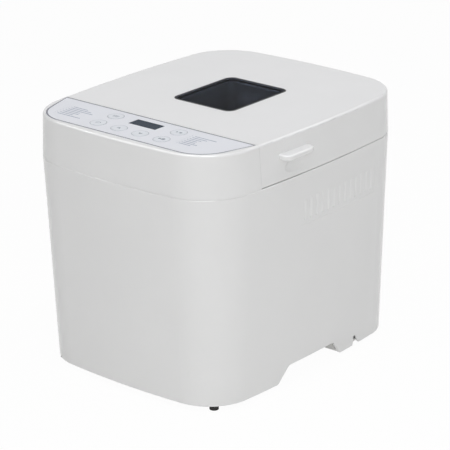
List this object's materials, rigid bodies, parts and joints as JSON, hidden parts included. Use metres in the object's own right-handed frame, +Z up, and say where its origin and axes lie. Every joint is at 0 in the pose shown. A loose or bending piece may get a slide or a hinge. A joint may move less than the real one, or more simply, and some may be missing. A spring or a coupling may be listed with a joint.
{
  "type": "bread machine",
  "caption": "Countertop bread machine with a white bowed housing, sloping control console, hinged lid with a dark viewing window, twist-lock pan and belt-driven kneading paddle.",
  "frame": {"origin": "under the middle of the overall box, on the worktop plane that the feet stand on", "axes": "+X to the machine's right as a person faces its controls, +Y to its back, +Z up"},
  "size_m": [0.2846, 0.3422, 0.2812],
  "materials": {
    "housing_plastic": "white moulded plastic, fine satin grain",
    "base_plastic": "grey moulded plastic",
    "foot_rubber": "dark soft rubber",
    "gland_plastic": "black moulded plastic",
    "overlay_film": "pale printed film, satin",
    "display_glass": "clear gloss lens over a slate display",
    "display_body": "black display module",
    "circuit_board": "green laminate",
    "electric_parts": "black moulded components",
    "key_plastic": "pale grey satin plastic",
    "window_glass": "dark tinted glass",
    "clear_glass": "clear heat-proof glass",
    "black_rubber": "black heat-proof rubber",
    "bright_sheet": "bright sheet steel",
    "deck_plastic": "light grey moulded plastic",
    "plated_steel": "zinc plated steel",
    "element_steel": "dark oxidised steel tube",
    "cast_alloy": "die-cast alloy",
    "bearing_bronze": "sintered bronze",
    "pulley_plastic": "black moulded plastic",
    "motor_steel": "laminated steel",
    "copper_winding": "varnished copper wire",
    "capacitor_can": "white plastic can",
    "pan_coating": "dark non-stick coating on pressed alloy"
  },
  "bodies": {
    "housing": {"outer_case": "housing_plastic", "base_plate": "base_plastic", "rubber_foot_front_left": "foot_rubber", "rubber_foot_front_right": "foot_rubber", "rubber_foot_rear_left": "foot_rubber", "rubber_foot_rear_right": "foot_rubber", "cord_gland": "gland_plastic", "front_console": "housing_plastic", "control_overlay": "overlay_film", "lcd_lens": "display_glass", "lcd_module": "display_body", "control_board": "circuit_board", "key_switches": "electric_parts", "hinge_brackets": "plated_steel", "hinge_pins": "plated_steel", "top_deck": "deck_plastic", "oven_chamber": "bright_sheet", "heat_shield": "bright_sheet", "heating_element": "element_steel", "element_bushes": "black_rubber", "oven_sensor": "plated_steel", "chassis_plate": "plated_steel", "chamber_posts": "plated_steel", "bearing_housing": "cast_alloy", "drive_bush": "bearing_bronze", "drive_belt": "black_rubber", "motor_stator": "motor_steel", "motor_windings": "copper_winding", "motor_end_caps": "cast_alloy", "motor_bolts": "plated_steel", "run_capacitor": "capacitor_can", "power_board": "circuit_board", "power_parts": "electric_parts", "pan_seat": "bright_sheet"},
    "lid": {"lid_shell": "housing_plastic", "window_glass": "window_glass", "window_gasket": "black_rubber", "window_well": "bright_sheet", "inner_glass": "clear_glass", "lid_liner": "bright_sheet"},
    "pan": {"bread_pan": "pan_coating", "pan_foot": "cast_alloy", "pan_bush": "bearing_bronze", "shaft_seal": "black_rubber", "pan_ears": "plated_steel"},
    "handle": {"pan_handle": "plated_steel"},
    "paddle": {"pan_shaft": "plated_steel", "kneading_paddle": "pan_coating"},
    "drive": {"drive_shaft": "plated_steel", "drive_pulley": "pulley_plastic", "drive_coupling": "cast_alloy"},
    "rotor": {"motor_rotor": "motor_steel", "motor_pulley": "cast_alloy"},
    "menu_key": {"menu_key": "key_plastic"},
    "crust_key": {"crust_key": "key_plastic"},
    "loaf_size_key": {"loaf_size_key": "key_plastic"},
    "start_stop_key": {"start_stop_key": "key_plastic"},
    "time_up_key": {"time_up_key": "key_plastic"},
    "time_down_key": {"time_down_key": "key_plastic"}
  },
  "joints": [
    {"name": "lid_hinge", "type": "hinge", "parent": "housing", "child": "lid", "pos_m": [-0.0053, 0.1682, 0.2378], "axis": [-1, 0, 0], "range_deg": [0, 95]},
    {"name": "pan_twist", "type": "hinge", "parent": "housing", "child": "pan", "pos_m": [-0.0053, 0.028, 0.06], "axis": [0, 0, 1], "range_deg": [0, 15]},
    {"name": "handle_swing", "type": "hinge", "parent": "pan", "child": "handle", "pos_m": [-0.0053, 0.028, 0.20375], "axis": [1, 0, 0], "range_deg": [0, 20]},
    {"name": "drive_spin", "type": "hinge", "parent": "housing", "child": "drive", "pos_m": [-0.0053, 0.028, 0.04], "axis": [0, 0, 1], "continuous": true},
    {"name": "paddle_spin", "type": "hinge", "parent": "pan", "child": "paddle", "pos_m": [-0.0053, 0.028, 0.09], "axis": [0, 0, 1], "continuous": true},
    {"name": "motor_spin", "type": "hinge", "parent": "housing", "child": "rotor", "pos_m": [-0.0053, -0.118, 0.06], "axis": [0, 0, 1], "continuous": true},
    {"name": "menu_press", "type": "slide", "parent": "housing", "child": "menu_key", "axis": [0, 0, -1], "range_m": [0, 0.0008], "stiffness_N_per_m": 1500},
    {"name": "crust_press", "type": "slide", "parent": "housing", "child": "crust_key", "axis": [0, 0, -1], "range_m": [0, 0.0008], "stiffness_N_per_m": 1500},
    {"name": "loaf_size_press", "type": "slide", "parent": "housing", "child": "loaf_size_key", "axis": [0, 0, -1], "range_m": [0, 0.0008], "stiffness_N_per_m": 1500},
    {"name": "start_stop_press", "type": "slide", "parent": "housing", "child": "start_stop_key", "axis": [0, 0, -1], "range_m": [0, 0.0008], "stiffness_N_per_m": 1500},
    {"name": "time_up_press", "type": "slide", "parent": "housing", "child": "time_up_key", "axis": [0, 0, -1], "range_m": [0, 0.0008], "stiffness_N_per_m": 1500},
    {"name": "time_down_press", "type": "slide", "parent": "housing", "child": "time_down_key", "axis": [0, 0, -1], "range_m": [0, 0.0008], "stiffness_N_per_m": 1500}
  ],
  "couplings": [
    {"joint": "paddle_spin", "follows": "drive_spin", "ratio": 1},
    {"joint": "motor_spin", "follows": "drive_spin", "ratio": 5}
  ]
}
